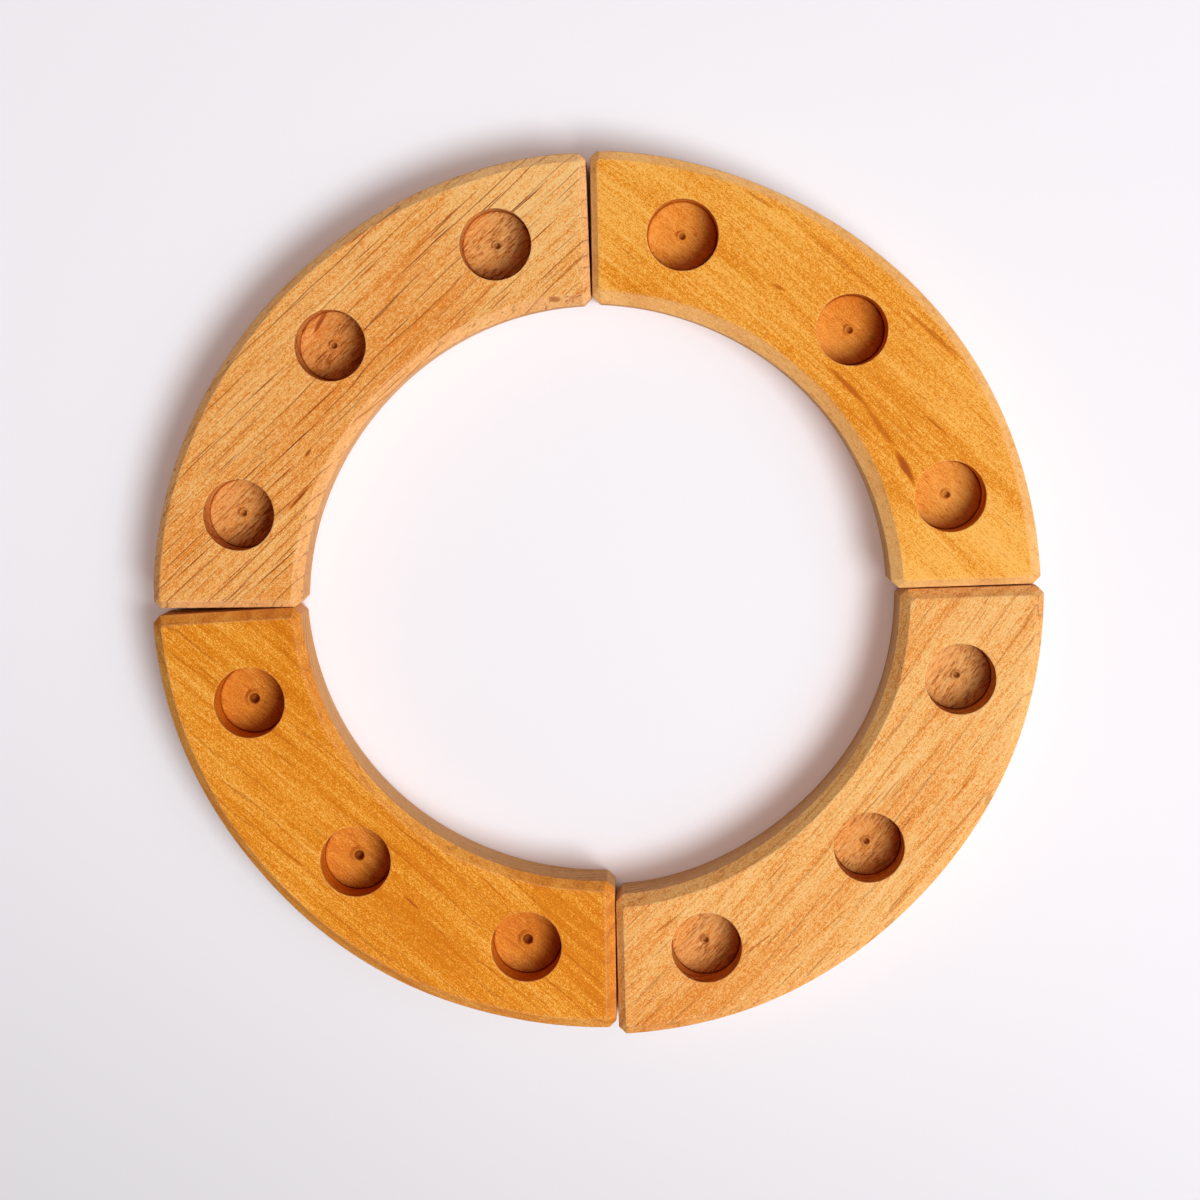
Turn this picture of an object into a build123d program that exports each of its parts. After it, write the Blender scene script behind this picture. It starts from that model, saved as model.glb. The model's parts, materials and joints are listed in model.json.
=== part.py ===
from build123d import *
from dataclasses import dataclass
import os

# A wooden celebration ring: four loose quarter blocks laid end to end, each with three
# blind candle cups. Millimetres, +Z up. The origin is the middle of the laid ring, on the
# surface that the blocks stand on.

# Driving dimensions, the same for all four blocks
outer_radius = 114.0
band_width = 38.0
thickness = 21.0
top_chamfer = 2.4
base_chamfer = 2.0
corner_cut = 1.8  # slants off the four upright corners of a block

cup_radius = 9.0
cup_depth = 10.3
cup_circle_radius = 94.4
cups_per_block = 3
cup_step = 30.0  # degrees from one cup to the next
block_angle = 90.0

point_radius = 1.3  # dimple that the drill's centre point leaves in a cup's floor
point_depth = 1.0
point_tip_radius = 0.2


@dataclass
class Block:
    """What is particular to one block, because each is sawn, drilled and laid by hand."""

    name: str
    start: float  # direction of the first end, degrees counter-clockwise from +X
    centre: tuple[float, float]  # centre of the block's two arcs
    cup_centre: tuple[float, float]  # centre of its circle of cups
    cup_turn: float  # degrees that the cups are turned about that centre
    first_end: tuple[float, float]  # sideways offset and turn of its first end
    second_end: tuple[float, float]  # the same for the end a quarter turn further
    narrower: float = 0.0  # how far the inner arc is cut into the usual band


blocks = [
    Block("quarter_back_right", 0.0, (-1.0, -1.4), (-1.3, 0.2), -0.5, (1.0, 0.6), (-1.0, -0.4)),
    Block("quarter_back_left", 90.0, (1.3, -1.8), (0.9, -1.3), -0.2, (-0.2, 0.8), (0.1, -0.8)),
    Block("quarter_front_left", 180.0, (0.4, 3.2), (1.2, 3.0), 1.9, (1.15, 2.1), (2.6, -0.6)),
    Block("quarter_front_right", 270.0, (-0.4, 1.4), (0.4, 0.7), 0.7, (3.0, 0.0), (0.6, 0.4), 1.6),
]


def saw_plane(direction, offset, turn):
    """Upright plane of a saw cut across the band, facing counter-clockwise round the ring."""
    outward = Vector(1, 0, 0).rotate(Axis.Z, direction)
    sideways = Vector(0, 1, 0).rotate(Axis.Z, direction)
    return Plane(
        origin=outward * cup_circle_radius + sideways * offset,
        x_dir=outward.rotate(Axis.Z, turn),
        z_dir=sideways.rotate(Axis.Z, turn),
    )


def cup_places(block, height):
    """Points on the cups' axes at the given height."""
    middle = block.start + block_angle / 2 + block.cup_turn
    first = middle - cup_step * (cups_per_block - 1) / 2
    spoke = Vector(cup_circle_radius, 0, height)
    return [
        Vector(*block.cup_centre) + spoke.rotate(Axis.Z, first + cup_step * number)
        for number in range(cups_per_block)
    ]


def make_quarter(block):
    """One block: a sawn length of flat ring with eased edges and drilled cups."""
    with BuildPart() as quarter:
        with BuildSketch(Plane.XY):
            with Locations(block.centre):
                Circle(outer_radius)
                Circle(outer_radius - band_width + block.narrower, mode=Mode.SUBTRACT)
        extrude(amount=thickness)
        split(bisect_by=saw_plane(block.start, *block.first_end), keep=Keep.TOP)
        split(
            bisect_by=saw_plane(block.start + block_angle, *block.second_end),
            keep=Keep.BOTTOM,
        )
        chamfer(quarter.edges().filter_by(Axis.Z), length=corner_cut)
        chamfer(quarter.faces().sort_by(Axis.Z)[-1].edges(), length=top_chamfer)
        chamfer(quarter.faces().sort_by(Axis.Z)[0].edges(), length=base_chamfer)
        with Locations(*cup_places(block, thickness)):
            Hole(radius=cup_radius, depth=cup_depth)
        with Locations(*cup_places(block, thickness - cup_depth)):
            Cone(
                bottom_radius=point_tip_radius,
                top_radius=point_radius,
                height=point_depth,
                align=(Align.CENTER, Align.CENTER, Align.MAX),
                mode=Mode.SUBTRACT,
            )
    return quarter


os.makedirs("parts", exist_ok=True)
for block in blocks:
    quarter = make_quarter(block)
    quarter.part.label = block.name
    export_step(quarter.part, f"parts/{block.name}.step")
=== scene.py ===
"""Celebration ring: four hand-made quarter blocks of oiled wood, drilled for candle holders.

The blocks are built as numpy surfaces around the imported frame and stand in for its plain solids.
Everything is in metres, +Z up, with the ring's middle at the origin on the table.
"""

import json
from dataclasses import dataclass

import bmesh
import bpy
import numpy as np
from mathutils import Matrix, Vector


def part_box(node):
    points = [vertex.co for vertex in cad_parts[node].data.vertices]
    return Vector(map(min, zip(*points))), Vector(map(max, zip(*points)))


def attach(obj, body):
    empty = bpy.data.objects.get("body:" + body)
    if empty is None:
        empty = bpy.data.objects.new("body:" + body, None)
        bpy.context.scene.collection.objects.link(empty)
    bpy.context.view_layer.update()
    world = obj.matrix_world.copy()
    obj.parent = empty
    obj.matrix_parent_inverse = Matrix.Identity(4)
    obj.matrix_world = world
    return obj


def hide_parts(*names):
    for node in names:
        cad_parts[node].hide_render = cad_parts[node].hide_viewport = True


bl_info = {
    "name": "Celebration ring",
    "version": (1, 0, 0),
    "blender": (4, 5, 0),
    "location": "3D View > Sidebar > Ring",
    "description": "Builds the four wooden blocks of a candle ring and a plain studio round them",
    "category": "Object",
}

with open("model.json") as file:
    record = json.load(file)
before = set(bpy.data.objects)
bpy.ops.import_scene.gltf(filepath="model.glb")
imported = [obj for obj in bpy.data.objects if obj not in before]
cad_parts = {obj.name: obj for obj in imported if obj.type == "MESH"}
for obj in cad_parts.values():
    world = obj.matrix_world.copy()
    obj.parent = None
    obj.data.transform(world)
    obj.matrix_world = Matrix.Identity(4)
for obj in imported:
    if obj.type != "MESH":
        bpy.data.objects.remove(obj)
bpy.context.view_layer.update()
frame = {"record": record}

MM = 0.001
BLOCK_ANGLE = 90.0
CUPS_PER_BLOCK = 3

# Shape that all blocks share: lengths in millimetres, the rest shares
RIPPLES = ((0.12, 2.3, 1), (0.07, 5.1, -1))  # bevels' (height, cycles, sign of the phase)
END_DROP = 0.92  # depth of the end bevels as a share of their width
USUAL_BEVEL = 2.2  # bevel by which the corner cuts are drawn in
CORNER_SHRINK = 0.586  # what a slanting cut loses as its sides draw in: 2 less the root of 2
LEAST_CUT = 0.35  # shortest leg that a corner's slanting cut may have

# Mesh fineness: steps along each stretch of a block's outline
ARC_STEPS = 22  # for each cup along the arcs
END_STEPS = 26  # along a sawn end
TURN_STEPS = 3  # round each bend of a cut corner
WELD = 0.002  # points closer than this, in millimetres, are one
LATTICE = 64  # cells a side before the plane noise repeats

ROW_MARKS = ("wear", "side", "cup", "wall", "hole")  # values that a surface's rows carry


@dataclass
class Block:
    """What is particular to one block, because each is sawn, bevelled and laid by hand.

    Lengths are in millimetres and angles in degrees. An end is (sideways offset, turn). A bevel
    is its width at the first end and at the second. A wave is (height, cycles, phase).
    """

    start: float
    centre: tuple
    first_end: tuple
    second_end: tuple
    outer_bevel: tuple
    inner_bevel: tuple
    outer_drop: tuple  # depth of the outer bevel as a share of its width, at each end
    inner_drop: tuple  # and of the inner bevel
    end_bevels: tuple
    outer_wave: tuple
    inner_wave: tuple
    wood: str
    fibre_turn: float
    pith: tuple  # across, below and tilt along the fibres
    point: float  # size of the drill point's dimple, as a share of the usual
    seed: float
    narrower: float = 0.0


BLOCKS = {
    "quarter_back_right": Block(
        start=0.0, centre=(-1.0, -1.4), first_end=(1.0, 0.6), second_end=(-1.0, -0.4),
        outer_bevel=(2.3, 2.0), outer_drop=(0.42, 0.40), outer_wave=(0.30, 1.4, 0.0),
        inner_bevel=(3.1, 3.3), inner_drop=(0.5, 0.55), inner_wave=(0.20, 1.1, 0.1),
        end_bevels=(1.8, 1.6), wood="amber", fibre_turn=2.5, pith=(180.0, 120.0, 0.03),
        point=0.75, seed=3.1,
    ),
    "quarter_back_left": Block(
        start=90.0, centre=(1.3, -1.8), first_end=(-0.2, 0.8), second_end=(0.1, -0.8),
        outer_bevel=(2.3, 1.7), outer_drop=(0.50, 1.0), outer_wave=(0.28, 1.0, 0.5),
        inner_bevel=(2.8, 2.6), inner_drop=(0.9, 0.85), inner_wave=(0.15, 1.2, 0.3),
        end_bevels=(1.7, 1.7), wood="tan", fibre_turn=-4.0, pith=(190.0, 30.0, 0.02),
        point=0.7, seed=11.7,
    ),
    "quarter_front_left": Block(
        start=180.0, centre=(0.4, 3.2), first_end=(1.15, 2.1), second_end=(2.6, -0.6),
        outer_bevel=(2.2, 2.5), outer_drop=(1.05, 0.95), outer_wave=(0.17, 2.2, 0.12),
        inner_bevel=(2.1, 2.3), inner_drop=(0.9, 0.9), inner_wave=(0.25, 0.9, 0.2),
        end_bevels=(2.5, 2.4), wood="amber", fibre_turn=2.0, pith=(200.0, 140.0, 0.02),
        point=1.15, seed=23.9,
    ),
    "quarter_front_right": Block(
        start=270.0, centre=(-0.4, 1.4), first_end=(3.0, 0.0), second_end=(0.6, 0.4),
        outer_bevel=(2.0, 2.1), outer_drop=(0.7, 0.75), outer_wave=(0.16, 1.8, 0.1),
        inner_bevel=(3.0, 2.6), inner_drop=(0.95, 0.95), inner_wave=(0.25, 1.5, 0.4),
        end_bevels=(1.8, 2.4), wood="tan", fibre_turn=2.5, pith=(10.0, 90.0, -0.02),
        point=0.7, seed=37.3, narrower=1.6,
    ),
}


def srgb(text):
    """Scene-linear RGBA of a colour written as six hexadecimal digits."""
    parts = [int(text[i : i + 2], 16) / 255 for i in (0, 2, 4)]
    return (*[p / 12.92 if p <= 0.04045 else ((p + 0.055) / 1.055) ** 2.4 for p in parts], 1.0)


def length_property(name, description, default):
    return bpy.props.FloatProperty(
        name=name, description=description, default=default, min=0.0, unit="LENGTH"
    )


def colour_property(name, description, default):
    limits = {"size": 4, "min": 0.0, "max": 1.0, "subtype": "COLOR"}
    return bpy.props.FloatVectorProperty(
        name=name, description=description, default=srgb(default), **limits
    )


class RingSizes(bpy.types.PropertyGroup):
    """Sizes that all four blocks share."""

    outer_radius: length_property("Outer radius", "Radius of a block's outer arc", 114.0 * MM)
    band_width: length_property("Band width", "Width of the ring's band", 38.0 * MM)
    base_bevel: length_property("Base bevel", "Width of the bevel round the base", 2.0 * MM)
    corner_cut: length_property("Corner cut", "Slant off an upright corner", 1.9 * MM)
    softness: length_property("Edge softness", "Size of the sanded round on an edge", 0.3 * MM)
    rim_softness: length_property("Rim softness", "Round on a cup's rim", 0.18 * MM)
    point_radius: length_property("Point radius", "Dimple left by the drill's point", 1.3 * MM)
    point_depth: length_property("Point depth", "Depth of that dimple", 1.0 * MM)
    dish_depth: length_property("Dish depth", "How far a cup's floor sags in the middle", 0.9 * MM)
    groove_depth: length_property("Groove depth", "Scored groove round a cup's floor", 0.45 * MM)


class RingColours(bpy.types.PropertyGroup):
    """Colours of the two woods and of the floor."""

    tan_pale: colour_property("Tan, early wood", "Palest wood of the tan blocks", "F9CB85")
    tan_mean: colour_property("Tan, mean", "Usual wood of the tan blocks", "F4A952")
    tan_deep: colour_property("Tan, late wood", "Deepest wood of the tan blocks", "DE7C20")
    tan_line: colour_property("Tan, growth line", "Growth lines of the tan blocks", "8C3204")
    tan_side: colour_property("Tan, sides", "Sawn and bevelled sides of the tan blocks", "FFC98C")
    amber_pale: colour_property("Amber, early wood", "Palest wood of the amber blocks", "FEC05E")
    amber_mean: colour_property("Amber, mean", "Usual wood of the amber blocks", "F0981A")
    amber_deep: colour_property("Amber, late wood", "Deepest wood of the amber blocks", "D67600")
    amber_line: colour_property("Amber, growth line", "Marks in the amber blocks", "AC4E0A")
    amber_side: colour_property("Amber, sides", "Sides of the amber blocks", "FFCA86")
    floor: colour_property("Floor", "Colour of the studio floor", "D7D6DB")


class StageSettings(bpy.types.PropertyGroup):
    """Light and lens of the studio."""

    lens: bpy.props.FloatProperty(
        name="Lens", description="Focal length in millimetres", default=89.7, min=1.0
    )
    key_power: bpy.props.FloatProperty(
        name="Soft box", description="Power of the large soft box", default=38.0, unit="POWER"
    )
    halo_power: bpy.props.FloatProperty(
        name="Halo", description="Power of the dim wide light", default=10.5, unit="POWER"
    )
    sky: bpy.props.FloatProperty(
        name="Sky", description="Strength of the even light from all round", default=0.11
    )
    floor_glow: bpy.props.FloatProperty(
        name="Floor glow", description="Lift of the floor as the camera sees it", default=0.42
    )


# ---------------------------------------------------------------- outline of a block


def turn(vector, degrees):
    """Plane vectors turned counter-clockwise by an angle."""
    angle = np.radians(degrees)
    x, y = vector[..., 0], vector[..., 1]
    return np.stack(
        [x * np.cos(angle) - y * np.sin(angle), x * np.sin(angle) + y * np.cos(angle)], -1
    )


def wave(wave_values, along):
    """Slow unevenness of a hand-worked edge: a cosine of the share of the way along it."""
    height, cycles, phase = wave_values
    return height * MM * np.cos(2 * np.pi * (cycles * along + phase))


def meet(point, direction, centre, radius):
    """Where a line from point along direction leaves the circle of that radius."""
    to_point = point - centre
    forward = (to_point * direction).sum(-1)
    left = radius**2 - (to_point**2).sum(-1) + forward**2
    return point + direction * (np.sqrt(left) - forward)[..., None]


def side_widths(block, along):
    """Bevel widths of the outer and inner arcs, changing evenly with a faint ripple."""
    ripple = sum(
        height * MM * np.sin(2 * np.pi * (cycles * along + sign * block.seed))
        for height, cycles, sign in RIPPLES
    )
    outer = MM * (block.outer_bevel[0] + (block.outer_bevel[1] - block.outer_bevel[0]) * along)
    inner = MM * (block.inner_bevel[0] + (block.inner_bevel[1] - block.inner_bevel[0]) * along)
    return outer + ripple, inner - ripple[..., ::-1]


def bend(before, corner, after, steps):
    """Points of the quadratic curve from before to after that the corner point pulls on."""
    t = np.linspace(0, 1, steps + 1)[1:-1, None] if steps > 1 else np.zeros((0, 1))
    before, corner, after = (p[..., None, :] for p in (before, corner, after))
    return (1 - t) ** 2 * before + 2 * t * (1 - t) * corner + t**2 * after


def outline(block, share, extra, sizes):
    """Closed outlines of a block seen from above, one for each row of its edge profile.

    share is the part of the bevel's own width that a row is drawn in by, and extra is a further
    plain distance. The arcs are circles about the block's centre, less bevel and wave; the ends
    are straight saw cuts; the four corners are cut off on the slant with a soft bend each side.
    Returns points of shape (rows, steps, 2) and the bevel's depth at each point.
    """
    share, extra = share[:, None], extra[:, None]
    middle = (sizes.outer_radius - sizes.band_width / 2) * np.ones(1)
    centre = np.array(block.centre) * MM
    along = np.linspace(0, 1, CUPS_PER_BLOCK * ARC_STEPS + 1)[None, :]
    outer_width, inner_width = side_widths(block, along)
    outer = sizes.outer_radius - wave(block.outer_wave, along) - share * outer_width - extra
    inner_radius = sizes.outer_radius - sizes.band_width + block.narrower * MM
    inner = inner_radius - wave(block.inner_wave, along) + share * inner_width + extra

    def saw_line(start, end, width, inward):
        outward = turn(np.array([1.0, 0.0]), start)
        sideways = turn(outward, 90)
        offset, angle = end
        point = outward * middle + sideways * offset * MM
        inset = (share * width * MM + extra) * inward
        return point + turn(sideways, angle) * inset, turn(outward, angle)

    first, first_way = saw_line(block.start, block.first_end, block.end_bevels[0], 1)
    second, second_way = saw_line(
        block.start + BLOCK_ANGLE, block.second_end, block.end_bevels[1], -1
    )
    corners = {
        "first_outer": meet(first, first_way, centre, outer[:, 0]),
        "second_outer": meet(second, second_way, centre, outer[:, -1]),
        "second_inner": meet(second, second_way, centre, inner[:, -1]),
        "first_inner": meet(first, first_way, centre, inner[:, 0]),
    }
    drawn_in = share * USUAL_BEVEL * MM + extra
    leg = np.maximum(sizes.corner_cut - CORNER_SHRINK * drawn_in, LEAST_CUT * MM)[:, 0]
    soft = np.minimum(sizes.softness, 0.3 * leg)

    def arc(radii, start_corner, end_corner):
        """Arc between two corners, stopping short of each by the corner's cut."""
        angles = []
        for corner, sign in ((start_corner, 1), (end_corner, -1)):
            away = corner - centre
            radius = np.hypot(away[:, 0], away[:, 1])
            angles.append(np.arctan2(away[:, 1], away[:, 0]) + sign * (leg + soft) / radius)
        span = (angles[1] - angles[0]) % (2 * np.pi)
        angle = angles[0][:, None] + span[:, None] * along
        return centre + radii[..., None] * np.stack([np.cos(angle), np.sin(angle)], -1)

    outer_arc = arc(outer, corners["first_outer"], corners["second_outer"])
    inner_arc = arc(inner, corners["first_inner"], corners["second_inner"])[:, ::-1]
    step = np.linspace(0, 1, END_STEPS + 1)[None, :, None]
    stop = (leg + soft)[:, None]

    def end_run(from_corner, to_corner):
        way = to_corner - from_corner
        way /= np.hypot(way[:, 0], way[:, 1])[:, None]
        begin, finish = from_corner + way * stop, to_corner - way * stop
        return begin[:, None] + (finish - begin)[:, None] * step

    second_run = end_run(corners["second_outer"], corners["second_inner"])
    first_run = end_run(corners["first_inner"], corners["first_outer"])

    def cut(run_in, run_out, corner):
        """The slanting cut between two runs, with a soft bend where it meets each of them."""
        a, b = run_in[:, -1], run_out[:, 0]
        reach = (soft / (leg + soft))[:, None]
        a_edge, b_edge = a + (corner - a) * reach, b + (corner - b) * reach
        slant = b_edge - a_edge
        length = np.hypot(slant[:, 0], slant[:, 1])[:, None]
        slant = slant / length * np.minimum(soft[:, None], 0.4 * length)
        a_after, b_before = a_edge + slant, b_edge - slant
        return np.concatenate(
            [
                bend(a, a_edge, a_after, TURN_STEPS),
                a_after[:, None],
                b_before[:, None],
                bend(b_before, b_edge, b, TURN_STEPS),
            ],
            1,
        )

    runs = [outer_arc, second_run, inner_arc, first_run]
    names = ["second_outer", "second_inner", "first_inner", "first_outer"]
    pieces = []
    for number, name in enumerate(names):
        pieces.append(runs[number])
        pieces.append(cut(runs[number], runs[(number + 1) % 4], corners[name]))
    points = np.concatenate(pieces, 1)

    cut_steps = pieces[1].shape[1]
    ends = [np.full(END_STEPS + 1, w * MM) for w in (block.end_bevels[1], block.end_bevels[0])]
    outer_slope = np.interp(along[0], (0, 1), block.outer_drop)
    inner_slope = np.interp(along[0], (0, 1), block.inner_drop)
    sides = [
        outer_width[0] * outer_slope,
        ends[0] * END_DROP,
        (inner_width[0] * inner_slope)[::-1],
        ends[1] * END_DROP,
    ]
    depths = []
    for number in range(4):
        here, then = sides[number], sides[(number + 1) % 4]
        depths += [here, np.linspace(here[-1], then[0], cut_steps + 2)[1:-1]]
    return points, np.concatenate(depths)


# ---------------------------------------------------------------- surfaces of a block


def edge_profile(height, sizes):
    """Rows from the top face's border over bevel, wall and base bevel to the base's border.

    A row is (share of the bevel's width, further inset, share of the bevel's depth, further
    depth, paleness as a worn edge with a painted highlight). Each edge is a soft round of three
    rows between two plain ones, and the shares far to faint say how far from the sharp edge a row
    of a round lies, in sizes of the round.
    """
    plain, far, out, near, middle, faint = 4, 1.3, 0.75, 0.45, 0.25, 0.06
    soft = sizes.softness
    slope = soft * np.sqrt(0.5)
    base = sizes.base_bevel
    top = [
        (1, plain * soft, 0, 0, 0),
        (1, far * soft, 0, 0, 0.15),
        (1, near * soft, 0, faint * soft, 0.8),
        (1, 0, 0, middle * soft, 1),
        (1, -near * slope, 0, out * slope, 0.8),
        (1, -slope, 0, far * slope, 0.15),
    ]
    shoulder = [
        (0, far * slope, 1, -slope, 0.15),
        (0, out * slope, 1, -near * slope, 0.6),
        (0, middle * soft, 1, 0, 0.8),
        (0, faint * soft, 1, near * soft, 0.6),
        (0, 0, 1, far * soft, 0.15),
    ]
    wall = [(0, 0, 1 - t, t * (height - base - far * soft), 0) for t in (0.1, 0.3, 0.5, 0.7, 0.9)]
    foot = [
        (0, 0, 0, height - base - far * soft, 0.1),
        (0, faint * soft, 0, height - base - near * soft, 0.5),
        (0, middle * soft, 0, height - base, 0.7),
        (0, out * slope, 0, height - base + near * slope, 0.5),
        (0, far * slope, 0, height - base + slope, 0.1),
        (0, base - slope, 0, height - far * slope, 0.1),
        (0, base - near * slope, 0, height - out * slope, 0.5),
        (0, base, 0, height - middle * soft, 0.7),
        (0, base + near * soft, 0, height - faint * soft, 0.4),
        (0, base + far * soft, 0, height, 0),
        (0, base + plain * soft, 0, height, 0),
    ]
    return np.array(top + shoulder + wall + foot)


def cell_borders(loop):
    """Splits a block's outline into one closed border a cup, by straight lines across the band.

    The outline runs along the outer arc, the second end, back along the inner arc and along the
    first end, with a corner cut after each.
    """
    arc = CUPS_PER_BLOCK * ARC_STEPS
    cut_steps = 2 * TURN_STEPS
    inner_start = arc + 1 + cut_steps + END_STEPS + 1 + cut_steps
    inner = loop[inner_start : inner_start + arc + 1][::-1]
    second = loop[arc + 1 : inner_start]
    first = loop[inner_start + arc + 1 :]
    step = np.linspace(0, 1, END_STEPS + 1)[1:-1, None]
    borders = []
    for number in range(CUPS_PER_BLOCK):
        low, high = number * ARC_STEPS, (number + 1) * ARC_STEPS
        across_high = loop[high] + (inner[high] - loop[high]) * step
        across_low = inner[low] + (loop[low] - inner[low]) * step
        last, opening = number == CUPS_PER_BLOCK - 1, number == 0
        borders.append(
            np.concatenate(
                [
                    loop[low : high + 1],
                    second if last else across_high,
                    inner[low : high + 1][::-1],
                    first if opening else across_low,
                ]
            )
        )
    return borders


def smooth_noise(points, seed, scale):
    """Even value noise in the plane: random heights on a lattice, joined by smooth steps."""
    random = np.random.default_rng(int(seed * 1000))
    heights = random.random((LATTICE, LATTICE))
    place = points / scale
    cell = np.floor(place).astype(int)
    part = place - cell
    part = part * part * (3 - 2 * part)
    x, y = cell[..., 0] % LATTICE, cell[..., 1] % LATTICE
    x1, y1 = (x + 1) % LATTICE, (y + 1) % LATTICE
    low = heights[x, y] + (heights[x1, y] - heights[x, y]) * part[..., 0]
    high = heights[x, y1] + (heights[x1, y1] - heights[x, y1]) * part[..., 0]
    return low + (high - low) * part[..., 1] - 0.5


def cup_rows(border, cup, height, sizes, point_share, seed, fibre):
    """Surface from a cell's border on the top face to the bottom of its cup.

    On the top face each point moves straight from the border to the rim circle that lies on the
    same ray from the cup's axis. Below it the rows are circles: rim round, wall, scored groove,
    floor and the drill point's dimple. The floor is roughened along the fibres.
    """
    axis = np.array(cup["pos_m"][:2])
    radius = cup["dims"]["r_mm"] * MM
    depth = cup["dims"]["length_mm"] * MM
    away = border - axis
    ray = away / np.hypot(away[:, 0], away[:, 1])[:, None]
    rim = sizes.rim_softness
    rim_outer = axis + ray * (radius + 3 * rim)
    blends = np.concatenate([[0, 0.06], np.linspace(0.16, 0.9, 8), [1]])[:, None, None]
    flat = border[None] + (rim_outer - border)[None] * blends
    top = np.concatenate([flat, np.full((*flat.shape[:2], 1), height)], 2)

    groove = sizes.groove_depth
    point = sizes.point_radius * point_share
    tip = sizes.point_depth * point_share
    walls = np.linspace(0.12, 0.9, 7) * depth
    floor = np.linspace(radius - 1.4 * groove, point * 1.9, 11)
    # Rows of radius, depth, and paleness of the rim as a worn edge with a painted highlight
    profile = np.array(
        [
            (radius + rim, 0.0, 0.3),
            (radius + 0.3 * rim, 0.22 * rim, 1.0),
            (radius, rim, 0.6),
            (radius, 3 * rim, 0.0),
            *[(radius, w, 0.0) for w in walls],
            (radius, depth - 0.1 * groove, 0.0),
            (radius - 0.1 * groove, depth + groove, 0.0),
            (radius - 0.6 * groove, depth + groove, 0.0),
            (radius - 0.9 * groove, depth + 0.3 * groove, 0.0),
            *[(f, depth, 0.0) for f in floor],
            (1.5 * point, depth - 0.08 * tip, 0.0),
            (1.2 * point, depth - 0.25 * tip, 0.0),
            (point, depth - 0.28 * tip, 0.0),
            (0.75 * point, depth + 0.15 * tip, 0.0),
            (0.45 * point, depth + 0.9 * tip, 0.0),
            (0.2 * point, depth + 1.3 * tip, 0.0),
            (0.0, depth + 1.35 * tip, 0.0),
        ]
    )
    around = axis + ray[None] * profile[:, 0, None, None]
    drop = np.repeat(profile[:, 1, None], len(border), 1)
    on_floor = np.clip((radius - groove - profile[:, 0]) / (0.5 * MM), 0, 1)[:, None]
    on_floor = on_floor * (profile[:, 1, None] > 0.9 * depth) * (profile[:, 0, None] > 0)
    turned = turn(around - axis, -fibre)

    def rough(stretch, offset, size):
        return smooth_noise(turned * [stretch, 1.0], seed + offset, size * MM)

    coarse, fine = rough(0.35, 0.0, 1.1), rough(0.3, 0.5, 0.45)
    torn = np.clip(rough(0.6, 0.9, 3.5) * 4, 0, 1)
    sag = sizes.dish_depth * (1 - (profile[:, 0, None] / radius) ** 2)
    drop = drop + sag * (profile[:, 1, None] > 0.99 * depth)
    drop = drop + on_floor * MM * (0.15 * coarse + 0.1 * fine + torn * (0.3 * coarse + 0.3 * fine))
    bowl = np.concatenate([around, height - drop[..., None]], 2)
    inside = profile[:, 1] > rim
    # The dimple and the groove get a mark, which the wood's shader darkens with painted shade
    in_groove = (profile[:, 0] > point) & (profile[:, 1] > depth + 0.5 * groove)
    hole = np.maximum((profile[:, 0] < 0.85 * point) * min(1.0, point_share**2), in_groove)
    wall = inside & (profile[:, 0] > radius - 0.2 * groove)
    bowl_marks = np.stack([profile[:, 2], 0 * hole, inside, wall, hole], -1)
    marks = np.concatenate([np.zeros((len(blends), len(ROW_MARKS))), bowl_marks])
    return np.concatenate([top, bowl])[::-1], marks[::-1]


def base_rows(border, axis):
    """Flat underside of a cell: its border drawn together towards the cup's axis."""
    shrink = np.array([1, 0.93, 0.7, 0.45, 0.2, 0])[:, None, None]
    flat = axis + (border - axis)[None] * shrink
    return np.concatenate([flat, np.zeros((*flat.shape[:2], 1))], 2)


def grid_faces(rows, columns, offset):
    """Quads of a grid that closes on itself along its rows."""
    row, column = np.meshgrid(np.arange(rows - 1), np.arange(columns), indexing="ij")
    here = offset + row * columns + column
    beside = offset + row * columns + (column + 1) % columns
    return np.stack([here, here + columns, beside + columns, beside], -1).reshape(-1, 4)


def mesh_from_grids(name, grids):
    """One mesh from several closed-row grids, welded where they meet.

    grids is a list of (points, marks), where marks holds the values of ROW_MARKS for each row.
    """
    points, faces, values, offset = [], [], [], 0
    for rows, marks in grids:
        count, columns = rows.shape[:2]
        points.append(rows.reshape(-1, 3))
        faces.append(grid_faces(count, columns, offset))
        values.append(np.repeat(marks, columns, 0))
        offset += count * columns
    mesh = bpy.data.meshes.new(name)
    mesh.from_pydata(np.concatenate(points), [], np.concatenate(faces))
    for key, column in zip(ROW_MARKS, np.concatenate(values).astype(np.float32).T):
        mesh.attributes.new(key, "FLOAT", "POINT").data.foreach_set("value", column.copy())
    shape = bmesh.new()
    shape.from_mesh(mesh)
    bmesh.ops.remove_doubles(shape, verts=shape.verts, dist=WELD * MM)
    open_edges = sum(1 for edge in shape.edges if len(edge.link_faces) != 2)
    if open_edges:
        raise RuntimeError(f"{name} has {open_edges} open or crowded edges")
    for face in shape.faces:
        face.smooth = True
    shape.to_mesh(mesh)
    shape.free()
    return mesh


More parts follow.
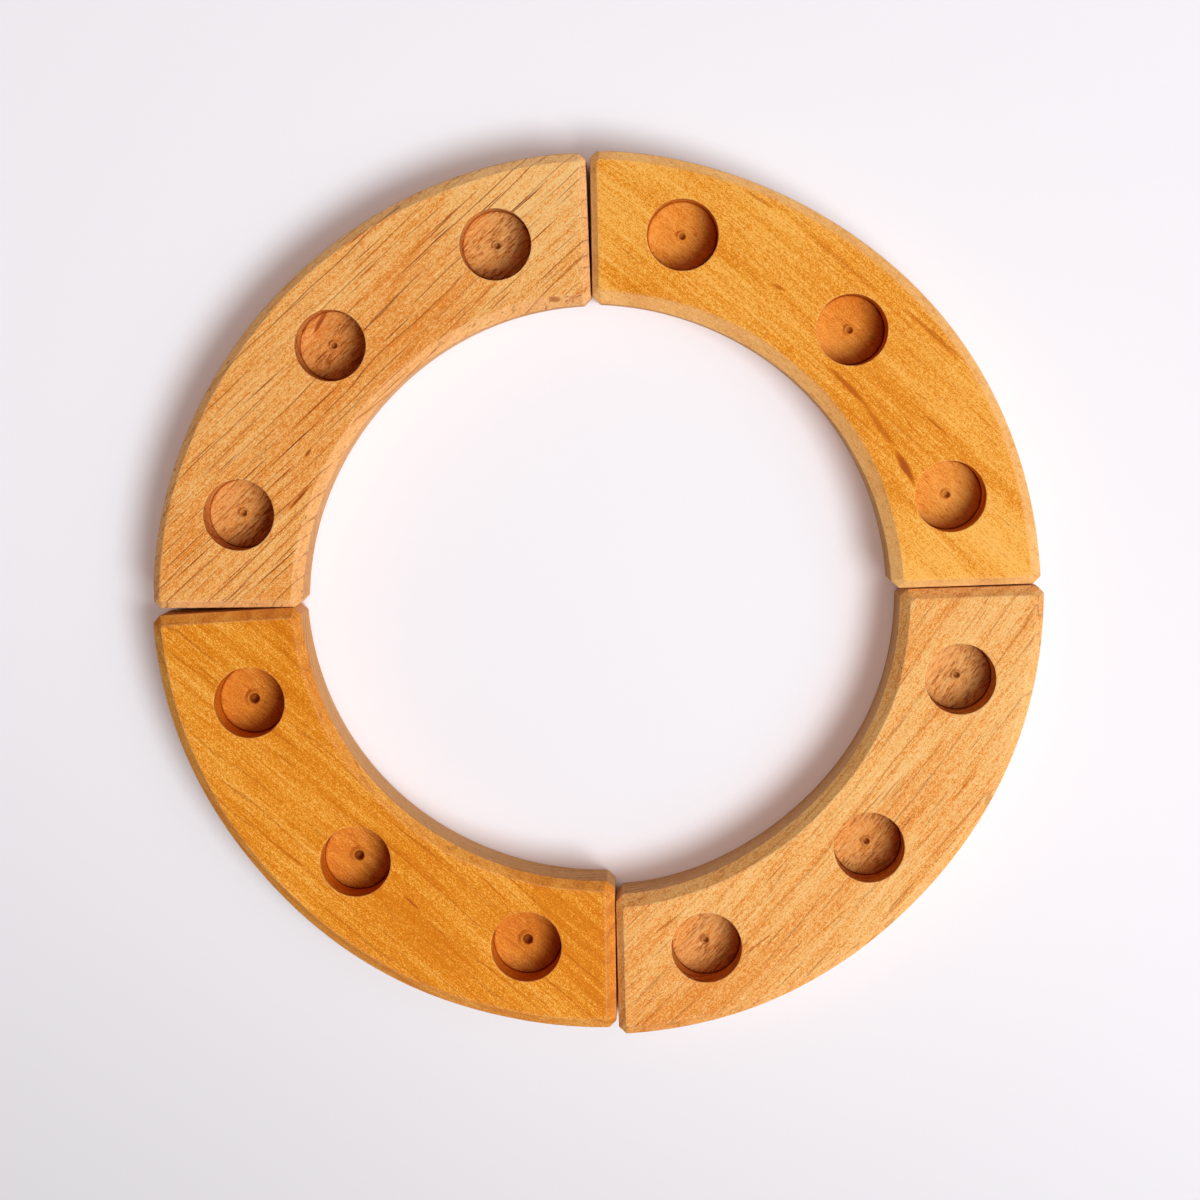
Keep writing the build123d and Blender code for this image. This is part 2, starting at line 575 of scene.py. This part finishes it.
def block_grids(node, block, sizes):
    """Every surface of a block: its edge all round, its cups with the top face, and its base."""
    low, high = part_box(node)
    height = high.z
    share, extra, deep, drop, wear = edge_profile(height, sizes).T
    plan, depths = outline(block, share, extra, sizes)
    plan = np.clip(plan, low[:2], high[:2])
    depth = deep[:, None] * depths + drop[:, None]
    edge = np.concatenate([plan, (height - depth)[..., None]], 2)
    place = node.removeprefix("quarter_")
    cups = [m for m in frame["record"]["mounts"] if m["name"].startswith(f"cup_{place}")]
    if len(cups) != CUPS_PER_BLOCK:
        raise RuntimeError(f"{node} has {len(cups)} cups in the frame")
    side = np.clip(drop / (0.3 * MM) + deep * 4, 0, 1) * (drop < height - 0.5 * MM)
    wall = (share == 0) & (extra == 0) & (wear < 0.2)
    none = np.zeros(len(edge))
    grids = [(edge, np.stack([wear, side, none, wall, none], -1))]
    fibre = block.start + BLOCK_ANGLE / 2 - 90 + block.fibre_turn
    cells = zip(cups, cell_borders(plan[0]), cell_borders(plan[-1]))
    for number, (cup, over, under) in enumerate(cells):
        seed = block.seed + number
        grids.append(cup_rows(over, cup, height, sizes, block.point, seed, fibre))
        flat = base_rows(under, np.array(cup["pos_m"][:2]))
        grids.append((flat, np.zeros((len(flat), len(ROW_MARKS)))))
    return grids


# ---------------------------------------------------------------- wood


def add_node(tree, kind, **settings):
    node = tree.nodes.new(kind)
    for key, value in settings.items():
        setattr(node, key, value)
    return node


class Sums:
    """Writes shader nodes, and arithmetic on their values, as short calls."""

    def __init__(self, tree):
        self.tree = tree

    def feed(self, socket, value):
        """Links a socket to another, or sets it to a plain value."""
        if isinstance(value, bpy.types.NodeSocket):
            self.tree.links.new(value, socket)
        else:
            socket.default_value = value

    def node(self, kind, inputs=(), **settings):
        """New node with its inputs fed; they are known by name or by number."""
        made = add_node(self.tree, kind, **settings)
        for key, value in dict(inputs).items():
            self.feed(made.inputs[key], value)
        return made

    def math(self, operation, *values, clamp=False):
        settings = {"operation": operation, "use_clamp": clamp}
        return self.node("ShaderNodeMath", enumerate(values), **settings).outputs[0]

    def plus(self, first, second, clamp=False):
        return self.math("ADD", first, second, clamp=clamp)

    def times(self, first, second, clamp=False):
        return self.math("MULTIPLY", first, second, clamp=clamp)

    def blend(self, value, factor, addend, clamp=False):
        """Value times factor, plus addend."""
        return self.math("MULTIPLY_ADD", value, factor, addend, clamp=clamp)

    def vector(self, operation, *values):
        node = self.node("ShaderNodeVectorMath", enumerate(values), operation=operation)
        return node.outputs[0]

    def split(self, vector):
        return tuple(self.node("ShaderNodeSeparateXYZ", {0: vector}).outputs)

    def join(self, *values):
        return self.node("ShaderNodeCombineXYZ", enumerate(values)).outputs[0]

    def step(self, value, low, high, out_low=0.0, out_high=1.0):
        """Smooth step of value between low and high."""
        inputs = enumerate((value, low, high, out_low, out_high))
        return self.node("ShaderNodeMapRange", inputs, interpolation_type="SMOOTHSTEP").outputs[0]

    def noise(self, vector, stretch, seed, detail=2.0, roughness=0.5):
        """Noise of about -0.5 to 0.5 on coordinates in millimetres times a stretch a side."""
        inputs = {
            "Vector": self.vector("MULTIPLY", vector, stretch),
            "W": seed,
            "Scale": 1.0,
            "Detail": detail,
            "Roughness": roughness,
        }
        node = self.node("ShaderNodeTexNoise", inputs, noise_dimensions="4D")
        return self.math("SUBTRACT", node.outputs[0], 0.5)

    def mix(self, share, first, second, blend="MIX"):
        inputs = {"Factor": share, 6: first, 7: second}  # 6 and 7 are the two colours
        node = self.node("ShaderNodeMix", inputs, data_type="RGBA", blend_type=blend)
        return node.outputs[2]

    def turned(self, vector, angle):
        """Vector turned clockwise about Z, so that an angle's direction comes to lie on X."""
        inputs = {"Vector": vector, "Angle": self.times(angle, -1.0)}
        return self.node("ShaderNodeVectorRotate", inputs, rotation_type="Z_AXIS").outputs[0]


GRAIN_INPUTS = {
    "Vector": (0.0, 0.0, 0.0),
    **dict.fromkeys(("Turn", "Arch", "Across Fibres", "Side", "Cup", "Wall", "Hole"), 0.0),
    **dict.fromkeys(("Wear", "Mark"), 0.0),
    "Early Wood": (1.0, 1.0, 1.0, 1.0),
    "Mean Wood": (0.7, 0.7, 0.7, 1.0),
    "Late Wood": (0.5, 0.5, 0.5, 1.0),
    "Growth Line": (0.2, 0.2, 0.2, 1.0),
    "Side Wood": (0.6, 0.4, 0.3, 1.0),
    "Tone": 0.5,
    "Pith Across": 80.0,
    "Pith Below": 60.0,
    "Pith Tilt": 0.05,
    "Ring Width": 3.0,
    "Wander": 3.0,
    "Line Strength": 0.5,
    "Line Width": 0.2,
    **dict.fromkeys((f"{kind} Strength" for kind in ("Band", "Cloud", "Streak", "Fleck")), 0.5),
    "Fleck Rate": 0.11,
    "Side Strength": 0.5,
    "Torn Floor": 0.5,
    "Seed": 0.0,
}

# Noises of the wood: stretch along and across the fibres, seed offset, detail, roughness
WOOD_NOISES = {
    "wander": (0.010, 0.035, 0.0, 1.0, 0.5),
    "shiver": (0.03, 0.22, 5.0, 2.0, 0.5),
    "coming": (0.045, 0.9, 9.0, 2.0, 0.5),
    "cloud": (0.016, 0.075, 21.0, 2.0, 0.55),
    "streak": (0.02, 0.55, 13.0, 2.0, 0.6),
    "fibre": (0.05, 2.1, 15.0, 2.0, 0.6),
    "hair": (0.8, 3.8, 17.0, 1.0, 0.6),
    "speck": (3.2, 4.4, 19.0, 1.0, 0.8),
    "smudge": (0.5, 0.8, 29.0, 3.0, 0.65),
    "torn": (0.4, 2.0, 33.0, 3.0, 0.55),
    "ragged": (0.16, 0.22, 35.0, 1.0, 0.5),
}
FLECK_ACROSS, FLECK_OFFSET = 2.2, 25.0

# Tints that the wood is multiplied by or drawn towards
SOILED = (0.76, 0.62, 0.46, 1.0)
END_GRAIN = (0.62, 0.46, 0.36, 1.0)
# Painted shade of the cups' floors: drawn towards dark red, then dimmed
CUP_SHADE_RED = (0.64, 0.24, 0.07, 1.0)
CUP_FLOOR_SHADE = (0.90, 0.87, 0.80, 1.0)
# Painted shade on the cups' walls
CUP_WALL_SHADE = (0.95, 0.79, 0.60, 1.0)
# Painted shade in the drill's dimple and in the groove round a cup's floor
HOLE_SHADE = (0.34, 0.16, 0.08, 1.0)
# Edges paled by rubbing and by a painted highlight
WORN_AND_HIGHLIT = (1.0, 0.80, 0.55, 1.0)


def new_group(name, inputs, outputs):
    """Empty shader group, with its inputs, its output node and a writer of sums in it.

    inputs and outputs map a socket's name to its default: a number, three numbers for a vector
    or four for a colour, which also say what kind of socket it is.
    """
    group = bpy.data.node_groups.new(name, "ShaderNodeTree")
    for sockets, way in ((inputs, "INPUT"), (outputs, "OUTPUT")):
        for key, default in sockets.items():
            length = len(default) if isinstance(default, tuple) else 1
            kind = {1: "NodeSocketFloat", 3: "NodeSocketVector", 4: "NodeSocketColor"}[length]
            socket = group.interface.new_socket(name=key, in_out=way, socket_type=kind)
            socket.default_value = default
    given = add_node(group, "NodeGroupInput").outputs
    return group, given, add_node(group, "NodeGroupOutput"), Sums(group)


def sawn_wood_group():
    """Shader group for sawn wood, on a block's own coordinates in millimetres.

    The fibres run along X turned by Turn, and sag as Arch times the square of X. Growth layers
    are tubes round a pith line that lies below and to one side of the block and tilts along it:
    the distance from the pith, plus a slow wander, divided by the ring width. Within a layer the
    wood darkens evenly and ends in a thin line that comes and goes. Noise stretched along the
    fibres gives clouds, streaks, fibres and hairs, and its peaks give short dark flecks. Sides,
    sawn ends and cups are then tinted where the surface's own values say so: in the cups the
    tints are painted shade, and the edges are paled by rubbing and by a painted highlight.
    """
    outputs = {"Colour": (0.0, 0.0, 0.0, 1.0), "Roughness": 0.0, "Height": 0.0}
    group, given, out, s = new_group("Sawn Wood", GRAIN_INPUTS, outputs)
    seed = given["Seed"]

    def grain_noise(name, vector):
        stretch, across, offset, detail, roughness = WOOD_NOISES[name]
        stretch = (stretch, across, across)
        return s.noise(vector, stretch, s.plus(seed, offset), detail, roughness)

    along, across, up = s.split(s.turned(given["Vector"], given["Turn"]))
    sag = s.times(s.times(along, along), given["Arch"])
    across = s.plus(across, sag)
    slow = grain_noise("wander", s.join(along, across, up))
    across = s.plus(across, s.times(slow, given["Wander"]))
    place = s.join(along, across, up)

    beside = s.math("SUBTRACT", across, given["Pith Across"])
    above = s.plus(up, given["Pith Below"])
    distance = s.math("SQRT", s.plus(s.times(beside, beside), s.times(above, above)))
    shiver = grain_noise("shiver", place)
    distance = s.blend(shiver, 3.2, distance)
    distance = s.blend(along, given["Pith Tilt"], distance)
    rings = s.math("DIVIDE", distance, given["Ring Width"])
    ring = s.math("FLOOR", rings)
    part = s.math("FRACT", rings)
    inputs = {"Vector": s.join(ring, seed, 0.0)}
    chance = s.node("ShaderNodeTexWhiteNoise", inputs, noise_dimensions="2D")
    strong = chance.outputs["Value"]

    # Late wood within a layer, and the line that ends it
    rise = s.step(part, 0.1, 0.8)
    fall = s.step(part, 0.8, 1.0, 1.0, 0.0)
    band = s.times(rise, fall)
    band = s.times(band, s.blend(strong, 1.2, 0.1))
    coming = grain_noise("coming", place)
    coming = s.step(coming, -0.12, 0.08)
    gap = s.math("ABSOLUTE", s.math("SUBTRACT", part, s.blend(strong, 0.6, 0.2)))
    line = s.step(s.times(gap, given["Ring Width"]), 0.05, given["Line Width"], 1.0, 0.0)
    line = s.times(line, coming)

    cloud = grain_noise("cloud", place)
    streak = grain_noise("streak", place)
    fibre = grain_noise("fibre", place)
    hair = grain_noise("hair", place)
    speck = grain_noise("speck", given["Vector"])
    stretch = s.join(given["Fleck Rate"], FLECK_ACROSS, FLECK_ACROSS)
    dash = s.noise(place, stretch, s.plus(seed, FLECK_OFFSET), 1.0)
    dash = s.step(dash, 0.13, 0.25)
    dash = s.times(dash, given["Fleck Strength"])

    # Tone: 0 is early wood, a half is mean wood and 1 is late wood
    tone = s.blend(band, given["Band Strength"], given["Tone"])
    tone = s.blend(cloud, given["Cloud Strength"], tone)
    tone = s.blend(streak, given["Streak Strength"], tone)
    tone = s.blend(fibre, 1.3, tone)
    tone = s.blend(hair, 1.2, tone)
    tone = s.blend(speck, 3.2, tone)
    tone = s.plus(tone, given["Mark"], clamp=True)
    low = s.times(tone, 2.0, clamp=True)
    high_tone = s.blend(tone, 2.0, -1.0, clamp=True)
    colour = s.mix(low, given["Early Wood"], given["Mean Wood"])
    colour = s.mix(high_tone, colour, given["Late Wood"])
    dark = s.times(line, given["Line Strength"])
    dark = s.math("MAXIMUM", dark, dash)
    dark = s.math("MAXIMUM", dark, s.blend(given["Mark"], 1.3, -0.35))
    colour = s.mix(dark, colour, given["Growth Line"])

    # Sides and sawn ends
    raw = s.times(given["Side Strength"], s.blend(speck, 0.8, 0.7))
    raw = s.math("MAXIMUM", raw, given["Wall"])
    raw = s.times(given["Side"], raw, clamp=True)
    smudge = grain_noise("smudge", given["Vector"])
    soiled = s.step(s.plus(s.times(speck, 0.8), smudge), -0.05, 0.28)
    side_wood = s.mix(soiled, given["Side Wood"], SOILED, "MULTIPLY")
    side_wood = s.mix(s.times(tone, 0.35), side_wood, given["Late Wood"])
    side_wood = s.mix(s.times(dark, 0.7), side_wood, given["Growth Line"])
    colour = s.mix(raw, colour, side_wood)
    end = s.step(given["Across Fibres"], 0.25, 0.85)
    layers = s.times(end, s.blend(band, 0.55, 0.2), clamp=True)
    colour = s.mix(layers, colour, END_GRAIN, "MULTIPLY")

    # Cups: torn floor, with painted shade that darkens the floor, the wall, the groove and the
    # dimple
    torn = grain_noise("torn", place)
    ragged = grain_noise("ragged", place)
    ragged = s.plus(s.step(ragged, -0.05, 0.1), 0.7)
    torn = s.times(s.times(torn, ragged), given["Torn Floor"])
    torn = s.times(torn, given["Cup"])
    # Painted shade: the cup's floor is drawn towards dark red and dimmed
    floor = s.times(given["Cup"], s.math("SUBTRACT", 1.0, given["Wall"]))
    colour = s.mix(s.times(floor, 0.3), colour, CUP_SHADE_RED)
    colour = s.mix(floor, colour, CUP_FLOOR_SHADE, "MULTIPLY")
    pits = s.times(s.step(torn, -0.02, -0.14), 0.55)
    colour = s.mix(pits, colour, given["Growth Line"])
    crests = s.times(s.step(torn, 0.03, 0.16), 0.3)
    colour = s.mix(crests, colour, given["Early Wood"])
    # Painted shade: the cup's wall is dimmed
    wall_shade = s.times(given["Wall"], given["Cup"])
    colour = s.mix(wall_shade, colour, CUP_WALL_SHADE, "MULTIPLY")
    # Painted shade in the dimple and the groove, broken up by the torn fibres
    hole_shade = s.blend(torn, 1.5, 0.8, clamp=True)
    hole_shade = s.times(hole_shade, given["Hole"])
    colour = s.mix(hole_shade, colour, HOLE_SHADE, "MULTIPLY")
    # Edges paled by rubbing and by a painted highlight along them
    colour = s.mix(s.times(given["Wear"], 0.10), colour, WORN_AND_HIGHLIT)

    rough = s.blend(hair, 0.15, 0.58)
    rough = s.blend(end, 0.12, rough)
    rough = s.blend(given["Cup"], 0.2, rough)
    high = s.times(hair, 0.05)
    high = s.blend(speck, 0.03, high)
    high = s.blend(dark, -0.05, high)
    high = s.blend(torn, 0.45, high)
    s.feed(out.inputs["Colour"], colour)
    s.feed(out.inputs["Roughness"], rough)
    s.feed(out.inputs["Height"], high)
    return group


def stroke_group():
    """Shader group for one mark in the wood, a long ellipse with soft ends.

    The mask is full inside a third of the ellipse's size and fades smoothly to its border.
    """
    origin = (0.0, 0.0, 0.0)
    inputs = {"Vector": origin, "Centre": origin, "Turn": 0.0, "Size": origin, "Strength": 0.0}
    group, given, out, s = new_group("Wood Stroke", inputs, {"Mask": 0.0})
    laid = s.turned(s.vector("SUBTRACT", given["Vector"], given["Centre"]), given["Turn"])
    along, across, _ = s.split(s.vector("DIVIDE", laid, given["Size"]))
    reach = s.plus(s.times(along, along), s.times(across, across))
    mask = s.step(s.math("SQRT", reach), 0.15, 0.5, 1.0, 0.0)
    s.feed(out.inputs["Mask"], s.times(mask, given["Strength"]))
    return group


WOOD_VALUES = {
    "quarter_back_right": {
        "Tone": 0.34, "Ring Width": 5.5, "Wander": 9.0, "Line Strength": 0.12,
        "Band Strength": 0.28, "Cloud Strength": 1.0, "Streak Strength": 0.8,
        "Fleck Strength": 0.3, "Torn Floor": 0.45, "Arch": 0.0004,
        "Side Strength": 1.1,
    },
    "quarter_back_left": {
        "Tone": 0.48, "Ring Width": 3.1, "Wander": 4.0, "Line Strength": 0.7,
        "Band Strength": 0.12, "Cloud Strength": 0.9, "Streak Strength": 0.3,
        "Fleck Strength": 1.0, "Fleck Rate": 0.05, "Torn Floor": 1.0,
        "Side Strength": 0.9,
    },
    "quarter_front_left": {
        "Tone": 0.60, "Ring Width": 2.9, "Wander": 8.0, "Line Strength": 0.42, "Line Width": 0.17,
        "Band Strength": 0.25, "Cloud Strength": 1.3, "Streak Strength": 0.7,
        "Fleck Strength": 0.45, "Torn Floor": 0.4,
        "Side Strength": 0.25,
    },
    "quarter_front_right": {
        "Tone": 0.36, "Ring Width": 3.4, "Wander": 7.0, "Line Strength": 0.35,
        "Band Strength": 0.12, "Cloud Strength": 1.1, "Streak Strength": 0.6,
        "Fleck Strength": 0.6, "Fleck Rate": 0.07, "Torn Floor": 0.9, "Arch": 0.0007,
        "Side Strength": 0.2,
    },
}

# Marks in the wood: along the block, outwards, turn, length, width, strength (less than 0 is pale)
MARKS = {
    "quarter_back_right": (
        (-40, 101, 7, 12, 1.4, 0.55),
        (-21, 88.5, 12, 5, 1.5, 0.6),
        (32, 91, 2, 9, 0.8, 0.7),
        (24, 93.5, 8, 8, 0.7, 0.4),
        (9, 82.6, -2, 20, 2.4, 0.7),
        (22, 80.8, -10, 18, 2.2, 0.55),
        (33.5, 77.8, -18, 13, 2.6, 1.0),
        (27, 86.5, -8, 14, 0.9, 0.35),
        (16, 106.9, 3, 32, 1.6, 0.4),
        (-14, 104, 4, 40, 2.4, 0.25),
        (0, 104, 0, 110, 26, 0.15),
        (64, 72, 0, 62, 62, -0.4),
        (-68, 74, 0, 50, 50, -0.2),
    ),
    "quarter_back_left": (
        (-33.5, 72.2, 4, 11, 1.3, 0.9),
        (-23.5, 78.4, 8, 4, 1.4, 0.8),
        (47.5, 59.8, -50, 5, 2.2, 0.8),
        (52, 56.5, -12, 14, 1.4, 0.45),
        (25, 106.4, -5, 9, 0.8, 0.7),
        (28, 92.5, 13, 32, 3.0, 0.22),
        (46, 97, 22, 22, 3.0, 0.2),
        (-6, 84, 8, 34, 2.6, 0.2),
        (2.0, 99.6, 12, 9, 1.6, 1.0),
        (-38, 93, 6, 30, 3.0, 0.2),
        (62, 82, 0, 66, 66, -0.28),
        (-8, 84, 0, 90, 30, 0.05),
    ),
    "quarter_front_left": (
        (-19.5, 89.2, 1, 7, 1.1, 0.85),
        (-32, 72.1, 0, 14, 0.8, 0.5),
        (12, 102, 2, 60, 1.0, 0.35),
        (-38, 90.5, 2, 20, 1.5, 0.3),
        (-6, 94, 1, 26, 1.2, 0.25),
        (20, 96, 2, 36, 1.2, 0.25),
    ),
    "quarter_front_right": (
        (-30, 100.6, 6, 16, 0.9, 0.5),
        (-15, 103, 5, 12, 0.8, 0.45),
        (35, 91, -9, 14, 0.7, 0.5),
        (-16, 85.6, 4, 16, 0.8, 0.5),
        (19, 100.6, -4, 18, 0.8, 0.4),
        (48, 70.5, -7, 12, 0.8, 0.45),
        (-40, 82.5, 3, 22, 0.8, 0.4),
        (-30, 86.8, -4, 56, 5.0, -0.25),
        (66, 84, 0, 80, 80, 0.16),
        (-64, 84, 0, 66, 66, -0.16),
    ),
}


WOOD_COLOURS = {
    "Early Wood": "pale",
    "Mean Wood": "mean",
    "Late Wood": "deep",
    "Growth Line": "line",
    "Side Wood": "side",
}
FRAY_STRETCH, FRAY_OFFSET, FRAY = (0.25, 1.3, 1.3), 41.0, 1.3  # ragged borders of the marks
SHINE = 0.12


def wood_material(node, block, groups, colours):
    """Oiled wood of one block, its fibres laid along the block's own chord."""
    sawn, stroke = groups
    material = bpy.data.materials.new(f"wood_{node.removeprefix('quarter_')}")
    material.use_nodes = True
    tree = material.node_tree
    tree.nodes.clear()
    s = Sums(tree)
    where = s.node("ShaderNodeTexCoord").outputs
    chord = (0.0, 0.0, -np.radians(block.start + BLOCK_ANGLE / 2 - 90))
    inputs = {"Vector": where["Object"], "Rotation": chord, "Scale": (1 / MM, 1 / MM, 1 / MM)}
    laid = s.node("ShaderNodeMapping", inputs).outputs[0]
    inputs = {"Vector": where["Normal"], "Rotation": chord}
    faces = s.node("ShaderNodeMapping", inputs, vector_type="VECTOR")
    facing = s.split(faces.outputs[0])[0]

    fray = s.noise(laid, FRAY_STRETCH, block.seed + FRAY_OFFSET, 2.0)
    frayed = s.vector("ADD", laid, s.join(0.0, s.times(fray, FRAY), 0.0))
    mark = 0.0
    for along, across, angle, length, width, strength in MARKS[node]:
        inputs = {
            "Vector": frayed,
            "Centre": (along, across, 0.0),
            "Turn": np.radians(angle),
            "Size": (length, width, 1.0),
            "Strength": strength,
        }
        mark = s.plus(mark, s.node("ShaderNodeGroup", inputs, node_tree=stroke).outputs[0])

    across, below, tilt = block.pith
    inputs = {
        "Vector": laid,
        "Across Fibres": s.math("ABSOLUTE", facing),
        "Mark": mark,
        "Turn": np.radians(block.fibre_turn),
        "Pith Across": across,
        "Pith Below": below,
        "Pith Tilt": tilt,
        "Seed": block.seed,
        **WOOD_VALUES[node],
    }
    for key in ROW_MARKS:
        attribute = s.node("ShaderNodeAttribute", attribute_name=key)
        inputs[key.capitalize()] = attribute.outputs["Fac"]
    for socket, key in WOOD_COLOURS.items():
        inputs[socket] = getattr(colours, f"{block.wood}_{key}")
    grain = s.node("ShaderNodeGroup", inputs, node_tree=sawn).outputs
    inputs = {"Strength": 1.0, "Distance": MM, "Height": grain["Height"]}
    relief = s.node("ShaderNodeBump", inputs)
    inputs = {
        "Specular IOR Level": SHINE,
        "Base Color": grain["Colour"],
        "Roughness": grain["Roughness"],
        "Normal": relief.outputs[0],
    }
    oiled = s.node("ShaderNodeBsdfPrincipled", inputs)
    s.node("ShaderNodeOutputMaterial", {"Surface": oiled.outputs[0]})
    return material


class RING_OT_quarter_block(bpy.types.Operator):
    """Build one quarter block with its cups, bevels and wood"""

    bl_idname = "ring.quarter_block"
    bl_label = "Quarter block"

    node: bpy.props.EnumProperty(
        name="Block",
        description="Which block to build",
        items=[(name, name.replace("_", " ").capitalize(), "") for name in BLOCKS],
    )

    def execute(self, context):
        sizes = context.scene.ring_sizes
        block = BLOCKS[self.node]
        mesh = mesh_from_grids(self.node, block_grids(self.node, block, sizes))
        piece = bpy.data.objects.new(self.node.replace("quarter", "block"), mesh)
        context.scene.collection.objects.link(piece)
        groups = (
            bpy.data.node_groups.get("Sawn Wood") or sawn_wood_group(),
            bpy.data.node_groups.get("Wood Stroke") or stroke_group(),
        )
        colours = context.scene.ring_colours
        mesh.materials.append(wood_material(self.node, block, groups, colours))
        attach(piece, self.node)
        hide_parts(self.node)
        return {"FINISHED"}


# ---------------------------------------------------------------- studio


FLOOR_SIZE = 6.0
# Painted shade: the falloff of light over the floor, towards the front left
SHADED = (-0.36, 0.02, 0.70, 0.985)  # the floor darkens from the second place to the first
LIGHT_WAY = (0.56, -0.32, 0.77)  # from the ring towards the middle of the light
SCREENED = 30.0 * MM  # how far off wood still tints the floor's glow as painted shadow colour
CLOSE = 20.0 * MM  # how far off wood still keeps the floor's lift away
# Painted colour of the wood's shadow on the floor, which tints the glow
SHADOW_WARMTH = (1.0, 0.65, 0.525, 1.0)
AIR = (1.0, 0.72, 0.58, 1.0)

# Lamps: size, distance, compass heading and elevation
SOFT_BOX = (0.95, 2.2, -34, 64.5)
HALO = (2.4, 2.0, -17, 58)

# Camera: its place, what it looks at and which way is up in the picture
CAMERA = ((0.0138, 0.0598, 0.7767), (0.0009, -0.0003, 0.021), (0.0249, 1, 0))


def floor_material(colours, glow):
    """Pale matt paper, a little darker towards the front left.

    The camera sees it lifted a little by a painted glow, but not in narrow gaps, which stay in
    shadow. Where wood stands between the paper and the light, the glow is painted warmer, a
    painted colour of the wood's shadow. The darkening towards the front left is painted shade,
    a falloff of light.
    """
    material = bpy.data.materials.new("studio_paper")
    material.use_nodes = True
    s = Sums(material.node_tree)

    def nearness(inputs):
        return s.node("ShaderNodeAmbientOcclusion", inputs, samples=8).outputs["AO"]

    where = s.node("ShaderNodeTexCoord").outputs["Object"]
    patch = s.noise(where, (6.0, 6.0, 6.0), 0.0, 2.0)
    x, y, _ = s.split(where)
    # Painted shade: the paper's colour dims towards the front left, with faint blotches
    shade = s.blend(patch, 0.02, s.step(s.blend(x, 0.35, y), *SHADED))
    colour = s.vector("SCALE", colours.floor[:3])
    s.feed(colour.node.inputs["Scale"], shade)
    screened = nearness({"Distance": SCREENED, "Normal": s.join(*LIGHT_WAY)})
    # Painted shadow colour: the glow turns warmer where wood screens the light
    warm = s.step(screened, 0.40, 0.67, 1.0, 0.0)
    seen = s.node("ShaderNodeLightPath").outputs["Is Camera Ray"]
    clear = s.step(nearness({"Distance": CLOSE}), 0.15, 0.40)
    paper = material.node_tree.nodes["Principled BSDF"]
    for socket, value in {
        "Base Color": colour,
        "Emission Color": s.mix(warm, colour, SHADOW_WARMTH, "MULTIPLY"),
        "Emission Strength": s.times(s.times(seen, clear), glow),
        "Roughness": 0.9,
        "Specular IOR Level": 0.1,
    }.items():
        s.feed(paper.inputs[socket], value)
    return material


def soft_lamp(scene, name, power, size, distance, heading, elevation):
    """Round area lamp at a distance, compass heading and elevation, facing the ring's middle."""
    light = bpy.data.lights.new(name, "AREA")
    light.shape = "DISK"
    light.size = size
    light.energy = power
    lamp = bpy.data.objects.new(name, light)
    scene.collection.objects.link(lamp)
    heading, elevation = np.radians(heading), np.radians(elevation)
    flat = distance * np.cos(elevation)
    place = (flat * np.cos(heading), flat * np.sin(heading), distance * np.sin(elevation))
    aim(lamp, place, (0, 0, 0), (0, 0, 1))


def aim(thing, place, target, up):
    """Puts a camera or lamp at a place, looking at a target, its top towards up."""
    place = Vector(place)
    back = (place - Vector(target)).normalized()
    right = Vector(up).cross(back).normalized()
    turned = Matrix((right, back.cross(right), back)).transposed()
    thing.matrix_world = Matrix.Translation(place) @ turned.to_4x4()


def even_sky(strength):
    """Warm light from all round, a little stronger from the right, the back and below."""
    world = bpy.data.worlds.new("studio_air")
    world.use_nodes = True
    s = Sums(world.node_tree)
    x, y, z = s.split(s.node("ShaderNodeTexCoord").outputs["Generated"])
    bright = s.blend(z, -0.5, s.blend(y, 0.25, s.blend(x, 0.6, 1.25)))
    air = world.node_tree.nodes["Background"]
    s.feed(air.inputs["Color"], AIR)
    s.feed(air.inputs["Strength"], s.times(bright, strength))
    return world


class RING_OT_studio(bpy.types.Operator):
    """Build the pale floor, the soft light and the camera"""

    bl_idname = "ring.studio"
    bl_label = "Studio"

    def execute(self, context):
        scene = context.scene
        settings = scene.ring_stage
        far = FLOOR_SIZE / 2
        mesh = bpy.data.meshes.new("studio_floor")
        corners = [(-far, -far, 0), (far, -far, 0), (far, far, 0), (-far, far, 0)]
        mesh.from_pydata(corners, [], [(0, 1, 2, 3)])
        mesh.materials.append(floor_material(scene.ring_colours, settings.floor_glow))
        floor = bpy.data.objects.new("studio_floor", mesh)
        scene.collection.objects.link(floor)

        soft_lamp(scene, "soft_box", settings.key_power, *SOFT_BOX)
        soft_lamp(scene, "halo", settings.halo_power, *HALO)
        scene.world = even_sky(settings.sky)

        lens = bpy.data.cameras.new("camera")
        lens.lens = settings.lens
        camera = bpy.data.objects.new("camera", lens)
        scene.collection.objects.link(camera)
        aim(camera, *CAMERA)
        scene.camera = camera
        scene.view_settings.view_transform = "Standard"
        return {"FINISHED"}


class RING_PT_panel(bpy.types.Panel):
    """Buttons for the ring's blocks and its studio"""

    bl_idname = "RING_PT_panel"
    bl_label = "Celebration ring"
    bl_space_type = "VIEW_3D"
    bl_region_type = "UI"
    bl_category = "Ring"

    def draw(self, context):
        layout = self.layout
        for name in BLOCKS:
            button = layout.operator(RING_OT_quarter_block.bl_idname, text=name.replace("_", " "))
            button.node = name
        layout.operator(RING_OT_studio.bl_idname)


CLASSES = (
    RingSizes,
    RingColours,
    StageSettings,
    RING_OT_quarter_block,
    RING_OT_studio,
    RING_PT_panel,
)
POINTERS = {"ring_sizes": RingSizes, "ring_colours": RingColours, "ring_stage": StageSettings}


def register():
    for kind in CLASSES:
        bpy.utils.register_class(kind)
    for name, kind in POINTERS.items():
        setattr(bpy.types.Scene, name, bpy.props.PointerProperty(type=kind))


def unregister():
    for name in POINTERS:
        delattr(bpy.types.Scene, name)
    for kind in reversed(CLASSES):
        bpy.utils.unregister_class(kind)


def main():
    register()
    bpy.ops.ring.studio()
    for name in BLOCKS:
        bpy.ops.ring.quarter_block(node=name)


if __name__ == "__main__":
    main()
